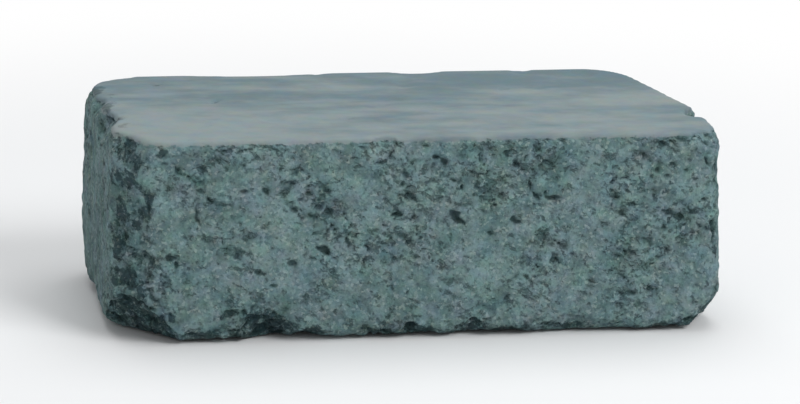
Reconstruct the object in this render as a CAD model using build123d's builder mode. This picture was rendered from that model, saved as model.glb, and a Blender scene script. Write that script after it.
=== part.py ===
from build123d import *
from math import atan2, cos, sqrt, tan
import os

# Tumbled concrete block for a dry-laid garden wall: one solid casting whose arrises and
# corners were worn and broken in the tumbling drum.
# Frame: +X along the length, -Y towards the fair face, +Z up, origin under the middle of the bed.
# All sizes are millimetres.

# Block as it left the mould
block_length = 300.0
block_depth = 130.0
block_height = 100.0

# Upright arrises, each worn by its own amount
front_left_arris = 20.0
front_right_arris = 11.0
back_right_arris = 28.0
back_left_arris = 10.0

# Arrises round the two beds
top_arris = 5.0
bottom_arris = 8.0

# Right end: all but its front strip falls away from square, and it leans in towards the top
end_wear_start = 24.0
end_wear_depth = 27.0
end_wear_blend = 30.0
end_lean = 6.0

# Rounding of the corners, over and above the arrises, and how far it stays off the arrises
corner_round = 42.0
arris_clearance = 0.4

# Breaks in the arrises: the length of arris that each takes out, and its depth below the sharp arris
rub_length, rub_depth = 95.0, 5.0
notch_length, notch_depth = 31.0, 9.0
flake_length, flake_depth = 30.0, 7.5
chip_length, chip_depth = 19.0, 6.0
nick_length, nick_depth = 12.0, 5.0

# Breaks at the corners, and down the worst of the upright arrises: depth below the sharp corner
broken_corner_depth = 22.0
clipped_corner_depth = 18.0
blunted_corner_depth = 15.0
broken_arris_depth = 12.5

# A break at a corner is nearly flat: its centre of curvature lies this many depths outside
corner_flatness = 8.0
# A break in an arris is a scoop, made this much wider than the break reaches on either face
scoop_margin = 4.0

# Where the faces lie, and which way they look
left, right = -block_length / 2, block_length / 2
front, back = -block_depth / 2, block_depth / 2
bed, top = 0.0, block_height
to_left, to_right = Vector(-1, 0, 0), Vector(1, 0, 0)
to_front, to_back = Vector(0, -1, 0), Vector(0, 1, 0)
down, up = Vector(0, 0, -1), Vector(0, 0, 1)

# Each sharp arris: its two ends, and the two faces that meet there
arrises = {
    "front bottom": ((left, front, bed), (right, front, bed), to_front, down),
    "front top": ((left, front, top), (right, front, top), to_front, up),
    "back bottom": ((left, back, bed), (right, back, bed), to_back, down),
    "back top": ((left, back, top), (right, back, top), to_back, up),
    "left bottom": ((left, front, bed), (left, back, bed), to_left, down),
    "left top": ((left, front, top), (left, back, top), to_left, up),
    "right bottom": (
        (right, front + end_wear_start, bed),
        (right - end_wear_depth, back, bed),
        to_right,
        down,
    ),
    "right top": (
        (right - end_lean, front + end_wear_start, top),
        (right - end_lean - end_wear_depth, back, top),
        to_right,
        up,
    ),
    "front left": ((left, front, bed), (left, front, top), to_front, to_left),
    "back left": ((left, back, bed), (left, back, top), to_back, to_left),
    "back right": ((right - end_wear_depth, back, bed), (right - end_wear_depth, back, top), to_back, to_right),
}

# Breaks: arris, where along it from 0 to 1, length, depth, lean towards the first face, and
# how many degrees the scoop runs askew
breaks = [
    ("front bottom", 0.255, notch_length, notch_depth, 0.1, 12),
    ("front bottom", 0.32, chip_length, chip_depth, -0.3, -20),
    ("front bottom", 0.49, nick_length, nick_depth, 0.2, 25),
    ("front bottom", 0.575, chip_length, chip_depth, 0.1, -15),
    ("front bottom", 0.76, rub_length, rub_depth, 0.1, 0),
    ("front bottom", 0.75, chip_length, chip_depth, 0.3, 20),
    ("front top", 0.43, nick_length, nick_depth, 0.4, -25),
    ("back bottom", 0.17, flake_length, flake_depth, 0.3, 15),
    ("back bottom", 0.25, chip_length, chip_depth, -0.3, -20),
    ("back bottom", 0.48, rub_length, rub_depth, 0.0, 0),
    ("back bottom", 0.70, notch_length, flake_depth, -0.2, 20),
    ("back top", 0.29, rub_length, rub_depth, 0.1, 0),
    ("back top", 0.56, flake_length, chip_depth, 0.4, -15),
    ("left bottom", 0.60, flake_length, flake_depth, 0.2, 20),
    ("left top", 0.38, notch_length, chip_depth, 0.4, -20),
    ("left top", 0.62, chip_length, nick_depth, 0.2, 15),
    ("right bottom", 0.35, notch_length, flake_depth, 0.2, -15),
    ("right top", 0.14, nick_length, nick_depth, 0.1, 20),
    ("front left", 0.60, rub_length, broken_arris_depth, -0.1, 0),
    ("front left", 0.36, flake_length, broken_arris_depth, 0.1, 20),
    ("back left", 0.42, rub_length, flake_depth, 0.3, 0),
    ("back right", 0.62, notch_length, broken_arris_depth, 0.2, -20),
]

# Corners that broke off: the sharp corner, the way out of it, and the depth
corner_breaks = [
    ((left, front, bed), to_left + to_front * 0.9 + down * 1.2, broken_corner_depth),
    ((left, front, top), to_left * 1.3 + to_front * 0.8 + up * 0.9, blunted_corner_depth),
    ((left, back, bed), to_left * 1.3 + to_back + down, clipped_corner_depth),
    ((right, front, bed), to_right * 1.2 + to_front * 0.7 + down, blunted_corner_depth),
]


def arris_break(arris, place, length, depth, lean, askew):
    """Scoop across an arris: a round hollow, deepest at the middle of its length."""
    start, end, first_face, second_face = arrises[arris]
    along = (Vector(*end) - Vector(*start)).normalized()
    middle = Vector(*start) + (Vector(*end) - Vector(*start)) * place
    outward = (first_face * (1 + lean) + second_face * (1 - lean)).normalized()
    across = along.cross(outward).rotate(Axis((0, 0, 0), outward), askew)
    radius = ((length / 2) ** 2 + depth**2) / (2 * depth)
    reach = depth / min(outward.dot(first_face), outward.dot(second_face)) + scoop_margin
    with BuildPart() as scoop:
        with BuildSketch(Plane(origin=middle + outward * (radius - depth), x_dir=outward, z_dir=across)):
            Circle(radius)
        extrude(amount=reach, both=True)
    return scoop.part


def corner_break(corner, outward, depth):
    """Round-bottomed break that takes off a corner."""
    outside = corner_flatness * depth
    with BuildPart() as ball:
        with Locations(Vector(*corner) + outward.normalized() * outside):
            Sphere(outside + depth)
    return ball.part


bites = [arris_break(*sizes) for sizes in breaks]
bites += [corner_break(*sizes) for sizes in corner_breaks]

# Rounded box that stands off the faces and arrises, so that it takes off only the corners
stand_off = (corner_round - min(top_arris, bottom_arris)) * (1 - 1 / sqrt(2)) + arris_clearance
with BuildPart() as drum_envelope:
    with Locations((0, 0, block_height / 2)):
        Box(block_length + 2 * stand_off, block_depth + 2 * stand_off, block_height + 2 * stand_off)
    fillet(edges(), corner_round)

# The right end leans from a foot outside the block, so that the end is at its full length where
# the rounded bottom arris stands out furthest
lean_angle = atan2(end_lean, block_height)
end_foot = right + bottom_arris * (1 / cos(lean_angle) + tan(lean_angle) - 1)

with BuildPart() as wall_block:
    with BuildSketch():
        with BuildLine():
            Polyline(
                (left, front),
                (end_foot, front),
                (end_foot, front + end_wear_start),
                (right - end_wear_depth, back),
                (left, back),
                close=True,
            )
        make_face()
    extrude(amount=block_height)

    # Lean of the right end
    split(
        bisect_by=Plane(origin=(end_foot, 0, bed), x_dir=to_back, z_dir=(block_height, 0, end_lean)),
        keep=Keep.BOTTOM,
    )

    # Upright arrises, found by their middles
    upright_arrises = [
        ((left, front), front_left_arris),
        ((end_foot - end_lean / 2, front), front_right_arris),
        ((end_foot - end_lean / 2, front + end_wear_start), end_wear_blend),
        ((right - end_wear_depth, back), back_right_arris),
        ((left, back), back_left_arris),
    ]
    for (x, y), wear in upright_arrises:
        fillet(edges().sort_by_distance((x, y, block_height / 2))[0], wear)

    # Arrises round the beds
    fillet(faces().sort_by(Axis.Z)[-1].edges(), top_arris)
    fillet(faces().sort_by(Axis.Z)[0].edges(), bottom_arris)

    # Worn corners
    add(drum_envelope.part, mode=Mode.INTERSECT)

    # Breaks
    for bite in bites:
        add(bite, mode=Mode.SUBTRACT)

wall_block.part.label = "wall_block"

os.makedirs("parts", exist_ok=True)
export_step(wall_block.part, "parts/wall_block.step")
print("volume, litres", round(wall_block.part.volume / 1e6, 3), "faces", len(wall_block.part.faces()))
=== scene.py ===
import math

import bmesh
import bpy
from mathutils import Matrix, Quaternion, Vector, noise


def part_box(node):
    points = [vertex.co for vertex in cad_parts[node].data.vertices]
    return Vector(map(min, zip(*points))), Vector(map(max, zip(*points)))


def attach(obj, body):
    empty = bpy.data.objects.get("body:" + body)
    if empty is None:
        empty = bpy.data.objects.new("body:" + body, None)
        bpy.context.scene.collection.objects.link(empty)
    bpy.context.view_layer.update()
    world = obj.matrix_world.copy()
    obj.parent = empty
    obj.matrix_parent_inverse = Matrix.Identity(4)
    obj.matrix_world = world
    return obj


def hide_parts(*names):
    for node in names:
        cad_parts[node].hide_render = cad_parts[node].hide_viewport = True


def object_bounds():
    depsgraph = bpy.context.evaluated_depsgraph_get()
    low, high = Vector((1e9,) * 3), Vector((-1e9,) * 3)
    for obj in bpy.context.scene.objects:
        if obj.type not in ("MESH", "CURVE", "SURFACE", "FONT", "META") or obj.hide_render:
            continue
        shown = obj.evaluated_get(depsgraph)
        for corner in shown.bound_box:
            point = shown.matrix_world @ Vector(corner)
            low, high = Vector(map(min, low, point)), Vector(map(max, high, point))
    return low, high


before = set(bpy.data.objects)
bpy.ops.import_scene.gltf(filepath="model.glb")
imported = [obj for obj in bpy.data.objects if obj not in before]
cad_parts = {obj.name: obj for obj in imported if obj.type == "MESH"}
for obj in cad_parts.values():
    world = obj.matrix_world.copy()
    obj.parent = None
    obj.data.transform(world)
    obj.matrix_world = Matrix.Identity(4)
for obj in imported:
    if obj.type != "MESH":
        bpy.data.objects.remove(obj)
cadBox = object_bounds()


# shader helpers: a socket that can be used in plain sums, and the sheet that its nodes are on
class Sock:
    def __init__(self, sheet, out):
        self.sheet, self.out = sheet, out

    def sum(self, operation, *values):
        return self.sheet.add("ShaderNodeMath", {"operation": operation}, dict(enumerate(values)))

    def __add__(self, other): return self.sum("ADD", self, other)
    def __radd__(self, other): return self.sum("ADD", other, self)
    def __sub__(self, other): return self.sum("SUBTRACT", self, other)
    def __rsub__(self, other): return self.sum("SUBTRACT", other, self)
    def __mul__(self, other): return self.sum("MULTIPLY", self, other)
    def __rmul__(self, other): return self.sum("MULTIPLY", other, self)

    def atLeast(self, other): return self.sum("MAXIMUM", self, other)

    # 0 below low, 1 above high, smooth between; low may be the larger one
    def step(self, low, high):
        return self.sheet.add("ShaderNodeMapRange", {"interpolation_type": "SMOOTHSTEP"},
                              {"Value": self, "From Min": low, "From Max": high})


class Sheet:
    def __init__(self, owner):
        owner.use_nodes = True
        self.owner, self.tree = owner, owner.node_tree
        self.tree.nodes.clear()

    def add(self, kind, settings=None, sockets=None, out=0):
        node = self.tree.nodes.new(kind)
        for name, value in (settings or {}).items():
            setattr(node, name, value)
        for key, value in (sockets or {}).items():
            if isinstance(value, Sock):
                self.tree.links.new(value.out, node.inputs[key])
            else:
                node.inputs[key].default_value = value
        return Sock(self, node.outputs[out]) if node.outputs else None

    def noise(self, place, size, detail=3.0, roughness=0.5, distortion=0.0, out=0):
        return self.add("ShaderNodeTexNoise", None, {"Vector": place, "Scale": 1 / size, "Detail": detail,
                                                     "Roughness": roughness, "Distortion": distortion}, out)

    def cells(self, place, size, out):
        return self.add("ShaderNodeTexVoronoi", None, {"Vector": place, "Scale": 1 / size}, out)

    def mix(self, factor, first, second, blend="MIX"):
        return self.add("ShaderNodeMix", {"data_type": "RGBA", "blend_type": blend},
                        {0: factor, 6: first, 7: second}, 2)

    # the place, turned about an axis or squeezed
    def mapped(self, place, how, values):
        return self.add("ShaderNodeMapping", None, {"Vector": place, how: values})

    # the place, pushed about so that what is drawn on it gets crooked edges
    def crooked(self, place, size, reach):
        push = self.noise(place, size, 2.0, out="Color")
        push = self.add("ShaderNodeVectorMath", {"operation": "SUBTRACT"}, {0: push, 1: (0.5, 0.5, 0.5)})
        push = self.add("ShaderNodeVectorMath", {"operation": "SCALE"}, {0: push, "Scale": reach})
        return self.add("ShaderNodeVectorMath", {"operation": "ADD"}, {0: place, 1: push})

    # 1 for the rays that see the background as it is written
    def seen(self):
        camera, glossy, through = (self.add("ShaderNodeLightPath", None, None, ray)
                                   for ray in ("Is Camera Ray", "Is Glossy Ray", "Is Transmission Ray"))
        return camera.atLeast(glossy).atLeast(through)

    def finish(self, shader, kind="Material"):
        self.add("ShaderNodeOutput" + kind, None, {"Surface": shader})
        return self.owner


def smoothStep(low, high, value):
    share = min(max((value - low) / (high - low), 0.0), 1.0)
    return share * share * (3 - 2 * share)


# the casting: what the mould and the drum did to its skin. Metres, unless a line says otherwise. A pattern's
# build is how its finer copies add up: their fall, their step in size and their number. A pair named reach
# is how far away something starts, and how near it is whole
blockRelief = {
    "voxel": 0.0017,                    # mesh size of the skin; the fair face gets half of it
    "mergeWithin": 1e-5,
    "smoothing": 4,                     # passes that even the skin out after the remesh
    "seed": 4,                          # without it noise_vector differs from run to run
    "fairFacing": -0.35,                # how far a face's normal is turned to the front where the mesh is finer
    "hollowFacing": -0.3,               # and where the hollows are

    "broad": {"size": 0.070, "depth": 0.0010},    # slow unevenness of the sides
    "broadOnTop": 0.15,                 # share of it that the top shows
    "lumps": {"size": 0.017, "depth": 0.0009, "build": (0.8, 2.0, 3)},
    "grain": {"size": 0.0042, "depth": 0.0006, "build": (0.5, 2.1, 3)},

    "pits": {"size": 0.0043, "depth": 0.0018, "build": (0.75, 2.2, 4)},    # of the open texture
    "pitLean": math.radians(-28),       # they run down to the right across the fair face
    "pitStretch": 1.35,
    "pitCrook": {"size": 0.0061, "push": 0.45},   # the push is in sizes of a pit
    "pitPatch": 0.030,                  # size of the open and the closed places
    "pitUnderHollow": 0.3,              # share of the pits' depth that a hollow gets too

    "hollowUnit": 0.00085,              # depth for each millimetre in the list of hollows
    "hollowCrook": 0.0028,

    "arrisReach": (0.012, 0.003),
    "arrisTurn": (0.03, 0.18),          # how far a normal is turned from square at an arris
    "upperReach": (0.016, 0.006),       # below the top, where the arrises get tighter
    "upperShare": 0.22,                 # the breakage that is left there
    "crumble": {"size": 0.0080, "depth": 0.0036, "build": (0.85, 2.1, 4)},    # breakage along the arrises
    "crumblePatch": 0.036,
    "crumbleInDirtAndShade": 0.75,

    "topFacing": (0.80, 0.97),
    "topReach": (0.004, 0.0015),        # below the top, where the smooth skin starts
    "dents": {"size": 0.020, "depth": 0.0006, "build": (1.0, 2.0, 2)},    # of the top
    "markDepth": 0.0011,
    "markDirt": 0.8,

    "dirtAndShadeCrooks": ((0.0075, 4.5), (0.0026, 2.0)),    # size, and push in millimetres
    "dirtAndShadeReach": (0.042, 0.016),        # behind the fair face
    # darkening round the left front arris: dirt, and painted shade as of the joint beside it
    "leftDirtAndShade": 0.46,
    "leftReach": (0.034, 0.012),        # round the left front arris
    "leftTopReach": (0.020, 0.004),
    "leftTopPatch": 0.011,
    # above the bed, where the arris is darkened: dirt, and painted contact shade
    "bedReach": (0.012, 0.002),
}

# hollows of the fair face in millimetres: along from the left end, up from the bed, length, height, depth, tilt
faceHollows = [
    (164.5, 60.0, 10.0, 3.6, 4.2, -40), (193.3, 58.2, 7.5, 2.8, 3.0, -25), (153.6, 90.4, 5.0, 3.0, 2.8, 0),
    (157.6, 87.8, 5.5, 3.2, 3.2, -50), (192.5, 86.2, 4.5, 3.4, 3.0, -30), (200.0, 75.7, 6.5, 2.4, 2.8, -75),
    (203.0, 70.0, 7.0, 2.4, 2.6, -50), (210.6, 69.0, 8.5, 2.8, 2.8, -8), (207.5, 71.5, 3.5, 2.4, 2.2, 60),
    (245.3, 60.6, 5.0, 3.6, 2.8, -30), (249.7, 64.6, 10.5, 2.0, 1.8, -3), (268.0, 60.6, 8.0, 3.0, 2.8, -14),
    (273.0, 58.0, 8.0, 3.6, 3.2, -26), (286.5, 85.7, 7.5, 2.6, 2.4, -60), (261.8, 81.4, 3.4, 2.8, 2.2, 0),
    (269.0, 84.2, 3.6, 2.8, 2.2, -20), (276.0, 81.4, 3.4, 2.6, 2.0, 15), (259.0, 78.5, 3.4, 2.6, 2.0, 0),
    (267.0, 79.0, 4.0, 2.4, 2.0, -25), (280.5, 77.0, 3.6, 2.6, 2.0, -10), (41.3, 75.7, 6.0, 3.0, 2.0, -15),
    (46.5, 71.2, 6.0, 2.8, 2.6, -22), (52.5, 69.2, 8.0, 2.0, 2.0, -12), (39.8, 63.3, 10.5, 2.4, 2.2, -75),
    (61.6, 75.3, 4.2, 2.8, 2.2, 0), (72.1, 75.3, 5.5, 2.8, 2.4, -55), (86.0, 65.8, 5.0, 3.2, 2.6, -20),
    (97.5, 66.8, 5.0, 3.0, 2.4, -30), (103.0, 64.4, 6.0, 3.0, 2.8, -22), (101.0, 75.5, 5.5, 4.0, 2.2, -50),
    (92.5, 74.0, 4.0, 3.0, 2.0, 10), (101.0, 45.4, 9.5, 3.2, 3.8, -28), (112.3, 49.1, 9.5, 2.4, 2.2, -75),
    (85.7, 39.1, 6.5, 3.2, 2.4, -25), (15.7, 43.7, 7.0, 2.6, 2.4, -30), (28.0, 43.6, 7.0, 2.8, 2.8, 0),
    (30.6, 40.2, 5.5, 2.6, 2.4, -85), (9.2, 47.2, 9.5, 2.0, 1.8, -15), (135.9, 62.3, 7.0, 2.8, 3.2, 0),
    (142.3, 70.6, 9.5, 3.0, 2.8, -30), (139.5, 82.0, 6.0, 4.2, 2.6, -35), (137.5, 77.0, 3.5, 2.6, 2.0, 20),
    (131.0, 91.5, 5.0, 3.0, 2.0, -40), (126.0, 88.5, 4.0, 2.6, 1.8, 0), (59.3, 43.3, 3.8, 3.2, 2.4, 0),
    (69.4, 34.9, 4.8, 2.6, 2.2, -30), (77.0, 28.5, 4.0, 2.6, 2.0, -20), (24.0, 93.0, 7.0, 3.4, 1.4, 20),
    (16.0, 68.6, 11.0, 3.4, 2.4, -85), (19.5, 24.0, 7.0, 3.2, 2.2, -35), (232.0, 27.0, 5.0, 2.6, 2.0, -15),
    (252.0, 20.5, 5.5, 2.8, 2.2, -20), (199.5, 30.0, 4.5, 2.6, 2.2, -45), (222.0, 41.0, 5.0, 2.8, 1.8, 0),
    (181.0, 52.0, 4.2, 2.6, 2.2, -30), (240.0, 72.0, 4.0, 2.4, 1.8, 0),
]

# places of dirt and painted shade down the left arris and along the bed, the notch in the bed arris among them, in
# millimetres: along, up, half length, half height
dirtyAndShadedPlaces = [
    (8, 92, 8, 5), (7, 79, 8, 5.5), (23, 94, 5, 3), (4, 64, 4, 6), (15, 68, 3.5, 8), (11, 60, 5, 3),
    (5, 48, 3.5, 7), (6, 33, 6, 6), (14, 28, 3, 5), (9, 16, 8, 6), (18, 14, 5, 4), (28, 13, 3, 2),
    (20, 5, 12, 4), (44, 4, 10, 3.5), (75, 8, 12, 8), (96, 4, 9, 4), (147, 3, 7, 4), (174, 4, 9, 5),
    (222, 3, 8, 3), (262, 2, 14, 3), (291, 5, 7, 8),
]

# where the fair face is more open or closed than elsewhere: along, up, half length, half height, by how much
openPlaces = [
    (46, 67, 14, 15, 0.30), (100, 61, 13, 20, 0.30), (152, 74, 20, 18, 0.30), (200, 74, 14, 18, 0.30),
    (260, 73, 31, 20, 0.30), (252, 31, 33, 16, 0.20), (24, 44, 10, 7, 0.25), (122, 72, 10, 20, -0.45),
    (228, 72, 9, 17, -0.45), (43, 26, 15, 8, -0.3), (158, 26, 20, 11, -0.3), (122, 35, 16, 10, -0.2),
]

# dents of the top in millimetres: along from the left end, back from the fair face, length, width, tilt
topMarks = [(36, 109, 8, 4, 35), (59, 75, 11, 4, 54), (118, 40, 6, 3, -25), (205, 88, 7, 3, 15)]


def halved(value):
    # noise of -1 to 1, brought to 0 to 1
    return 0.5 + 0.5 * value


def rough(place, pattern, shift=(0, 0, 0)):
    return noise.fractal(place / pattern["size"] + Vector(shift), *pattern["build"])


def patched(place, size, shift, low, high):
    # slow change from place to place, 0 to 1
    return smoothStep(low, high, noise.noise(place / size + Vector(shift)))


def spread(u, v, length, width, tilt):
    # distance from the middle of a mark, 1 at its edge
    turn = math.radians(tilt)
    along = u * math.cos(turn) + v * math.sin(turn)
    across = v * math.cos(turn) - u * math.sin(turn)
    return math.hypot(along / length * 2, across / width * 2)


def hollowAt(ahead, above, wobble):
    # depth of the hollow that is deepest here
    deepest = 0.0
    for x, z, length, high, deep, tilt in faceHollows:
        if abs(ahead - x) < length and abs(above - z) < length:
            u = ahead - x + 0.10 * length * wobble
            v = above - z + 0.14 * length * wobble
            near = spread(u, v, length, high, tilt)
            near *= 1 + 0.35 * wobble
            deepest = max(deepest, deep * smoothStep(1.3, 0.35, near))
    return deepest * blockRelief["hollowUnit"]


def openness(place, ahead, above, onFace):
    # 0 where the texture is closed, 1 where it is open
    drift = patched(place, blockRelief["pitPatch"], (3, 8, 2), -0.25, 0.40)
    if onFace:
        drift += sum(more * smoothStep(1.4, 0.5, math.hypot((ahead - x) / wide, (above - z) / high))
                     for x, z, wide, high, more in openPlaces)
        drift = min(max(drift, 0.0), 1.0)
    return drift


def pitsAt(place, drift):
    # pits of the open texture: leaning, stretched and crooked
    pits, crook = blockRelief["pits"], blockRelief["pitCrook"]
    squeeze = Vector((1 / blockRelief["pitStretch"], 1.0, 1.0))
    leant = (Matrix.Rotation(blockRelief["pitLean"], 3, "Y") @ place) * squeeze / pits["size"]
    leant += crook["push"] * noise.noise_vector(place / crook["size"])
    pitted = smoothStep(0.24 - 0.22 * drift, 0.66, noise.fractal(leant, *pits["build"]))
    return pits["depth"] * (0.40 + 0.60 * drift) * pitted


def dirtAndShadeAt(place, ahead, above, behind):
    # 1 in the places of dirt and painted shade, which have crooked edges
    coarse, fine = (push * noise.noise_vector(place / size) for size, push in blockRelief["dirtAndShadeCrooks"])
    pushed = coarse + fine
    dirtyAndShaded = max(smoothStep(1.5, 0.5, math.hypot((ahead + pushed.x - x) / wide, (above + pushed.z - z) / high))
                for x, z, wide, high in dirtyAndShadedPlaces)
    return dirtyAndShaded * smoothStep(*blockRelief["dirtAndShadeReach"], behind)


def evenSkin(cad):
    # merged copy of the casting, remeshed, with a finer mesh on the fair face
    skin = bpy.data.objects.new("wall_block_skin", cad.data.copy())
    bpy.context.scene.collection.objects.link(skin)
    merged = bmesh.new()
    merged.from_mesh(skin.data)
    bmesh.ops.remove_doubles(merged, verts=merged.verts, dist=blockRelief["mergeWithin"])
    merged.to_mesh(skin.data)
    merged.free()
    remesh = skin.modifiers.new("even skin", "REMESH")
    remesh.mode = "VOXEL"
    remesh.voxel_size = blockRelief["voxel"]
    evened = bpy.data.meshes.new_from_object(skin.evaluated_get(bpy.context.evaluated_depsgraph_get()))
    skin.modifiers.clear()
    skin.data = evened
    shape = bmesh.new()
    shape.from_mesh(evened)
    shape.normal_update()
    facing = blockRelief["fairFacing"]
    fair = [edge for edge in shape.edges if any(face.normal.y < facing for face in edge.link_faces)]
    bmesh.ops.subdivide_edges(shape, edges=fair, cuts=1, use_grid_fill=True)
    for _ in range(blockRelief["smoothing"]):
        bmesh.ops.smooth_vert(shape, verts=shape.verts, factor=0.5,
                              use_axis_x=True, use_axis_y=True, use_axis_z=True)
    shape.normal_update()
    print("skin:", len(shape.verts), "vertices")
    return skin, shape


def buildBlock():
    skin, shape = evenSkin(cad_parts["wall_block"])
    (lowX, lowY, lowZ), (highX, highY, highZ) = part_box("wall_block")
    hollowLayer, wearDirtAndShadeLayer, openLayer = (shape.verts.layers.float.new(name) for name in ("hollow", "wearDirtAndShade", "open"))
    relief = blockRelief
    upperFrom, upperTo = (highZ - below for below in relief["upperReach"])
    topFrom, topTo = (highZ - below for below in relief["topReach"])
    noise.seed_set(relief["seed"])
    moves = []
    for vert in shape.verts:
        place, normal = vert.co.copy(), vert.normal.copy()
        right, behind, up = place.x - lowX, place.y - lowY, place.z - lowZ
        ahead, above = right * 1000, up * 1000    # millimetres, as the lists have them
        onFace = normal.y < relief["hollowFacing"]
        turned = 1 - max(abs(normal.x), abs(normal.y), abs(normal.z))
        toArris = sorted((right, highX - place.x, behind, highY - place.y, up, highZ - place.z))[1]
        arris = max(smoothStep(*relief["arrisReach"], toArris), smoothStep(*relief["arrisTurn"], turned))
        arris *= 1 - (1 - relief["upperShare"]) * smoothStep(upperFrom, upperTo, place.z)
        top = smoothStep(*relief["topFacing"], normal.z) * smoothStep(topFrom, topTo, place.z)
        side = 1 - top

        broad = relief["broad"]["depth"] * halved(noise.noise(place / relief["broad"]["size"]))
        lumps = relief["lumps"]["depth"] * halved(rough(place, relief["lumps"]))
        grain = relief["grain"]["depth"] * halved(rough(place, relief["grain"]))
        drift = openness(place, ahead, above, onFace)
        pits = pitsAt(place, drift)

        # breakage along the arrises, and in the places of dirt and painted shade
        dirtyAndShaded = dirtAndShadeAt(place, ahead, above, behind)
        arris = max(arris, relief["crumbleInDirtAndShade"] * dirtyAndShaded)
        patch = patched(place, relief["crumblePatch"], (7, 3, 1), -0.20, 0.35)
        crumble = relief["crumble"]["depth"] * arris * (0.22 + 0.78 * patch)
        crumble *= smoothStep(-0.35, 0.75, rough(place, relief["crumble"], (1, 5, 9)))

        drilled = hollowAt(ahead, above, noise.noise(place / relief["hollowCrook"])) if onFace else 0.0
        dents = relief["dents"]["depth"] * smoothStep(0.25, 0.7, rough(place, relief["dents"], (4, 4, 4)))
        marked = max(smoothStep(1.2, 0.4, spread(ahead - x, behind * 1000 - y, length, width, tilt))
                     for x, y, length, width, tilt in topMarks)
        dents += relief["markDepth"] * marked
        hollow = side * max(crumble + pits, drilled + relief["pitUnderHollow"] * pits)
        depth = side * (broad + lumps + grain) + hollow + top * (dents + relief["broadOnTop"] * broad)
        moves.append((vert, normal * -depth))

        # dirt and painted shade keep to the arrises, most of all to the broad left one and round the bed, where
        # the painted shade stands for the shade of a joint and the contact shade
        leftArrisDirtAndShade = relief["leftDirtAndShade"] * smoothStep(*relief["leftReach"], math.hypot(right, behind))
        leftTop = smoothStep(*relief["leftTopReach"], right)
        leftTop *= smoothStep(0.2, 0.5, noise.noise(place / relief["leftTopPatch"]) + 0.35)
        bedArrisDirtAndShade = smoothStep(*relief["bedReach"], up)
        onSide = max(arris * (0.25 + 0.60 * patch), leftArrisDirtAndShade, dirtyAndShaded, bedArrisDirtAndShade * (0.50 + 0.50 * patch))
        vert[wearDirtAndShadeLayer] = side * onSide + top * max(leftTop, relief["markDirt"] * marked)
        # the depth of the hollows, which the material darkens as painted shade and dirt
        vert[hollowLayer] = hollow * 1000
        vert[openLayer] = drift
    for vert, move in moves:
        vert.co += move
    shape.to_mesh(skin.data)
    shape.free()
    for polygon in skin.data.polygons:
        polygon.use_smooth = True
    skin.data.materials.clear()
    skin.data.materials.append(concrete())
    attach(skin, "root")
    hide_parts("wall_block")
    triangles = sum(len(polygon.vertices) - 2 for polygon in skin.data.polygons)
    print("block:", len(skin.data.vertices), "vertices", triangles, "triangles")


# the look of the casting: colours are linear, and sizes and reliefs are in metres
concreteLook = {
    "paste": (0.176, 0.274, 0.272, 1),
    "pasteBlue": (0.165, 0.248, 0.264, 1),
    "pasteDark": (0.093, 0.159, 0.162, 1),
    "sandPale": (0.325, 0.415, 0.400, 1),
    "sandDark": (0.052, 0.096, 0.103, 1),
    # near-black painted shade in the pores and hollows
    "poreShade": (0.012, 0.034, 0.037, 1),
    # dark colour of dirt, and of painted shade along the arrises and round the bed
    "dampAndShade": (0.017, 0.038, 0.043, 1),
    "topSkin": (0.2025, 0.248, 0.2545, 1),
    "topStreak": (0.106, 0.158, 0.179, 1),
    "rust": (0.150, 0.080, 0.045, 1),
    "warmTint": (0.538, 0.500, 0.468, 1),
    "coldTint": (0.462, 0.500, 0.532, 1),

    "fineSize": 0.0017,
    "sandSize": 0.0013,
    "sandCrook": 0.0011,
    "mottleSize": 0.0095,
    "cloudSize": 0.045,
    "bluePatch": 0.021,
    "grimeSize": 0.0052,
    "poreSize": 0.0034,
    "speckSize": 0.0018,
    "poreSqueeze": (0.74, 1.0, 1.0),
    "rustApart": 0.055,
    "streakSize": 0.014,
    "driftSize": 0.038,
    "streakSqueeze": (0.36, 1.0, 1.0),
    "warmPatch": 0.0105,
    "tintPatch": 0.0075,

    "dirtAndShade": 0.88,          # how much of each shows
    "sandPaleShare": 0.38,
    "sandDarkShare": 0.42,
    "fineShare": 0.36,
    "poreShadeShare": 0.57,
    "hollowShadeShare": 0.68,
    "rustShare": 0.5,
    "topFineShare": 0.25,
    "topDirt": 0.75,
    "tints": 0.26,
    "tintsLessOnTop": 0.06,

    "topDrop": 0.0022,     # how far below the top the smooth skin ends
    "topEdge": 0.0004,     # half the width of its edge
    "topRagged": (0.007, 0.0044),    # size of the edge's crooks, and their reach
    "roughness": 0.93,
    "topSmoother": 0.12,
    "relief": (0.0026, 0.0012),      # size and height
    "sandRelief": 0.00022,
    "poreRelief": 0.0010,
    "topRelief": (0.004, 0.00012),
    "specular": 0.25,
}


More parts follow.
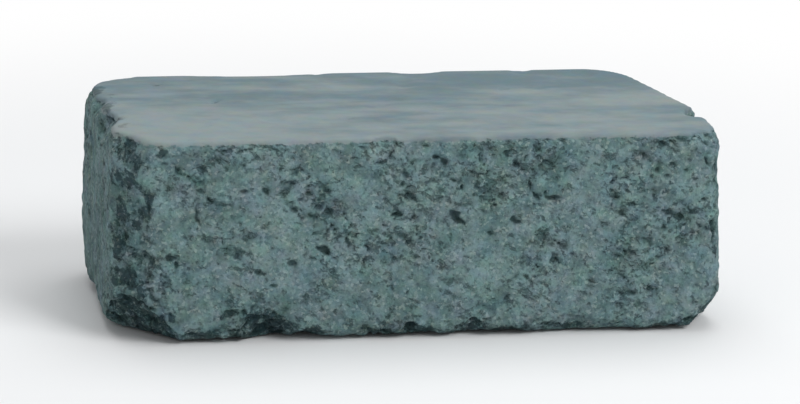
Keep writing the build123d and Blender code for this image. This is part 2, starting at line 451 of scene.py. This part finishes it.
def concrete():
    look, sheet = concreteLook, Sheet(bpy.data.materials.new("tumbled concrete"))
    place = sheet.add("ShaderNodeTexCoord", None, None, "Object")
    along, depth, height = (sheet.add("ShaderNodeSeparateXYZ", None, {"Vector": place}, axis) for axis in "XYZ")
    hollow, wearDirtAndShade, drift = (sheet.add("ShaderNodeAttribute", {"attribute_name": name}, None, "Fac")
                           for name in ("hollow", "wearDirtAndShade", "open"))

    # the smooth top skin ends raggedly just over the arris
    skinEnd = cadBox[1][2] - look["topDrop"]
    fine = sheet.noise(place, look["fineSize"], 3, 0.7)
    raggedSize, raggedReach = look["topRagged"]
    ragged = (sheet.noise(place, raggedSize, 4, 0.6) - 0.5) * raggedReach + (fine - 0.5) * 0.0020
    top = (height + ragged).step(skinEnd - look["topEdge"], skinEnd + look["topEdge"])

    # sand and paste
    clouds = sheet.noise(place, look["cloudSize"], 4, 0.6)
    mottle = sheet.noise(place, look["mottleSize"], 5, 0.68)
    crooked = sheet.crooked(place, look["sandCrook"], look["sandCrook"])
    grains = sheet.cells(crooked, look["sandSize"], "Color")
    sandTone = sheet.add("ShaderNodeSeparateColor", None, {"Color": grains}, "Red")
    blueness = sheet.noise(place, look["bluePatch"], 3, 0.6).step(0.40, 0.62)
    pasteTone = sheet.mix(blueness, look["paste"], look["pasteBlue"])
    tone = sheet.mix((clouds * 0.7 + mottle * 1.4 - 0.55).step(0.25, 0.72), look["pasteDark"], pasteTone)

    # damp dirt and painted shade in the broken arrises, down the left arris and round the bed, under the sand so
    # that they stay grainy
    grime = sheet.noise(place, look["grimeSize"], 5, 0.72)
    dirtAndShade = (wearDirtAndShade * 0.95 + (grime - 0.5) * 2.3 + (fine - 0.5) * 1.2).step(0.48, 0.90)
    tone = sheet.mix(dirtAndShade * look["dirtAndShade"], tone, look["dampAndShade"])

    tone = sheet.mix(sandTone.step(0.80, 0.98) * (look["sandPaleShare"] - dirtAndShade * 0.16), tone, look["sandPale"])
    tone = sheet.mix(sandTone.step(0.25, 0.05) * look["sandDarkShare"], tone, look["sandDark"])
    tone = sheet.mix((fine - 0.5).step(0.0, 0.25) * look["fineShare"], tone, look["sandDark"])

    # pores too small for the mesh, painted as dark shade: crooked, leaning down to the right like the larger ones
    leant = sheet.mapped(place, "Rotation", (0.0, blockRelief["pitLean"], 0.0))
    leant = sheet.mapped(leant, "Scale", look["poreSqueeze"])
    porosity = sheet.noise(leant, look["poreSize"], 4, 0.66, 0.2) - drift * 0.05
    specks = sheet.noise(leant, look["speckSize"], 3, 0.55).step(0.410, 0.300) * (0.30 + drift * 0.70)
    openings = porosity.step(0.430, 0.290).atLeast(specks * 0.85)
    tone = sheet.mix(openings * look["poreShadeShare"], tone, look["poreShade"])

    # painted shade and dirt in the deep hollows, darker the deeper they are, and a little rust
    tone = sheet.mix((hollow + (fine - 0.5)).step(0.40, 2.0) * look["hollowShadeShare"], tone, look["poreShade"])
    rustSpots = sheet.cells(place, look["rustApart"], "Distance").step(0.032, 0.016)
    tone = sheet.mix(rustSpots * look["rustShare"], tone, look["rust"])

    # top skin: paler, with faint streaks along the block
    drawn = sheet.mapped(place, "Scale", look["streakSqueeze"])
    streaks = sheet.noise(drawn, look["streakSize"], 4, 0.6)
    drifts = streaks * 0.8 + sheet.noise(drawn, look["driftSize"], 3, 0.5) * 0.9 - 0.35 - depth * 2.2 - along * 0.5
    topTone = sheet.mix(drifts.step(0.22, 0.72), look["topStreak"], look["topSkin"])
    topTone = sheet.mix((fine - 0.5).step(0.05, 0.30) * look["topFineShare"], topTone, look["topStreak"])
    topDirt = (wearDirtAndShade * 0.8 + (grime - 0.5) * 1.2).step(0.35, 0.85)
    topTone = sheet.mix(topDirt * look["topDirt"], topTone, look["dampAndShade"])
    colour = sheet.mix(top, tone, topTone)

    # warmer and colder places of the sand and cement
    warmth = sheet.noise(place, look["warmPatch"], 4, 0.7).step(0.25, 0.75)
    colour = sheet.mix(1.0, colour, sheet.mix(warmth, look["coldTint"], look["warmTint"]), "SOFT_LIGHT")
    tints = sheet.noise(place, look["tintPatch"], 4, 0.7, 0.0, "Color")
    colour = sheet.mix(look["tints"] - top * look["tintsLessOnTop"], colour, tints, "SOFT_LIGHT")

    # relief too fine for the mesh
    reliefSize, reliefHeight = look["relief"]
    topSize, topHeight = look["topRelief"]
    sideRelief = (sheet.noise(place, reliefSize, 5, 0.7) - 0.5) * reliefHeight
    sideRelief = sideRelief + (sandTone - 0.5) * look["sandRelief"] - openings * look["poreRelief"]
    topRelief = (sheet.noise(drawn, topSize, 4, 0.6) - 0.5) * topHeight
    bump = sheet.add("ShaderNodeBump", None, {"Strength": 1.0, "Distance": 1.0,
                                              "Height": sideRelief * (1 - top) + topRelief * top})
    shader = sheet.add("ShaderNodeBsdfPrincipled", None, {
        "Base Color": colour,
        "Roughness": look["roughness"] - top * look["topSmoother"],
        "Normal": bump,
        "Specular IOR Level": look["specular"],
    })
    print("concrete:", len(sheet.tree.nodes), "nodes")
    return sheet.finish(shader)


buildBlock()

# floor, which fades to the white background away from the block
floorLook = {"radius": 6.0, "sides": 96, "colour": (0.78, 0.79, 0.80, 1), "fadeFrom": 0.28, "fadeTo": 0.62}


def buildFloor():
    mesh = bpy.data.meshes.new("floor")
    shape = bmesh.new()
    bmesh.ops.create_circle(shape, cap_ends=True, segments=floorLook["sides"], radius=floorLook["radius"])
    shape.to_mesh(mesh)
    shape.free()
    floor = bpy.data.objects.new("floor", mesh)
    bpy.context.scene.collection.objects.link(floor)
    sheet = Sheet(bpy.data.materials.new("floor paper"))
    place = sheet.add("ShaderNodeTexCoord", None, None, "Object")
    away = sheet.add("ShaderNodeVectorMath", {"operation": "LENGTH"}, {0: place}, "Value")
    paper = sheet.add("ShaderNodeBsdfDiffuse", None, {"Color": floorLook["colour"]})
    white = sheet.add("ShaderNodeEmission", None, {"Color": (1, 1, 1, 1), "Strength": 1.0})
    fade = away.step(floorLook["fadeFrom"], floorLook["fadeTo"]) * sheet.seen()
    mesh.materials.append(sheet.finish(sheet.add("ShaderNodeMixShader", None, {0: fade, 1: paper, 2: white})))
    print("floor: radius", floorLook["radius"])


buildFloor()

# soft light from above and the right, and a pale surround
lightSetup = {
    "key": {"place": (1.3, -1.5, 1.8), "size": 1.3, "power": 40},
    "fill": {"place": (-1.6, -1.9, 0.9), "size": 1.6, "power": 3},
    "overhead": {"place": (0.1, 0.5, 2.2), "size": 1.8, "power": 24},
}
lightAim = (0, 0, 0.05)    # the middle of the block
surroundLight = 0.45       # of the white surround, on the block


def buildLights():
    for name, setup in lightSetup.items():
        lamp = bpy.data.lights.new(name, "AREA")
        lamp.size = setup["size"]
        lamp.energy = setup["power"]
        light = bpy.data.objects.new(name, lamp)
        light.location = setup["place"]
        aim = Vector(lightAim) - light.location
        light.rotation_euler = aim.to_track_quat("-Z", "Y").to_euler()
        bpy.context.scene.collection.objects.link(light)
    sheet = Sheet(bpy.data.worlds.new("studio"))
    strength = surroundLight + (1 - surroundLight) * sheet.seen()
    surround = sheet.add("ShaderNodeBackground", None, {"Color": (1, 1, 1, 1), "Strength": strength})
    bpy.context.scene.world = sheet.finish(surround, "World")
    print("lights:", ", ".join(lightSetup))


buildLights()

# camera, from the side and height that the photograph looks from: degrees, metres and millimetres
cameraSetup = {"azimuth": -11.8, "elevation": 16.1, "roll": 2.0, "distance": 2.17, "lens": 200.0, "sensor": 36.0}


def buildCamera():
    data = bpy.data.cameras.new("camera")
    data.lens = cameraSetup["lens"]
    data.sensor_width = cameraSetup["sensor"]
    camera = bpy.data.objects.new("camera", data)
    bpy.context.scene.collection.objects.link(camera)
    centre = (Vector(cadBox[0]) + Vector(cadBox[1])) / 2
    turn, rise, roll = (math.radians(cameraSetup[name]) for name in ("azimuth", "elevation", "roll"))
    outward = Vector((math.sin(turn) * math.cos(rise), -math.cos(turn) * math.cos(rise), math.sin(rise)))
    camera.location = centre + outward * cameraSetup["distance"]
    level = (-outward).to_track_quat("-Z", "Y")
    camera.rotation_euler = (level @ Quaternion((0, 0, 1), roll)).to_euler()
    bpy.context.scene.camera = camera
    print("camera:", cameraSetup["azimuth"], cameraSetup["elevation"])


buildCamera()
bpy.context.scene.view_settings.view_transform = "Standard"
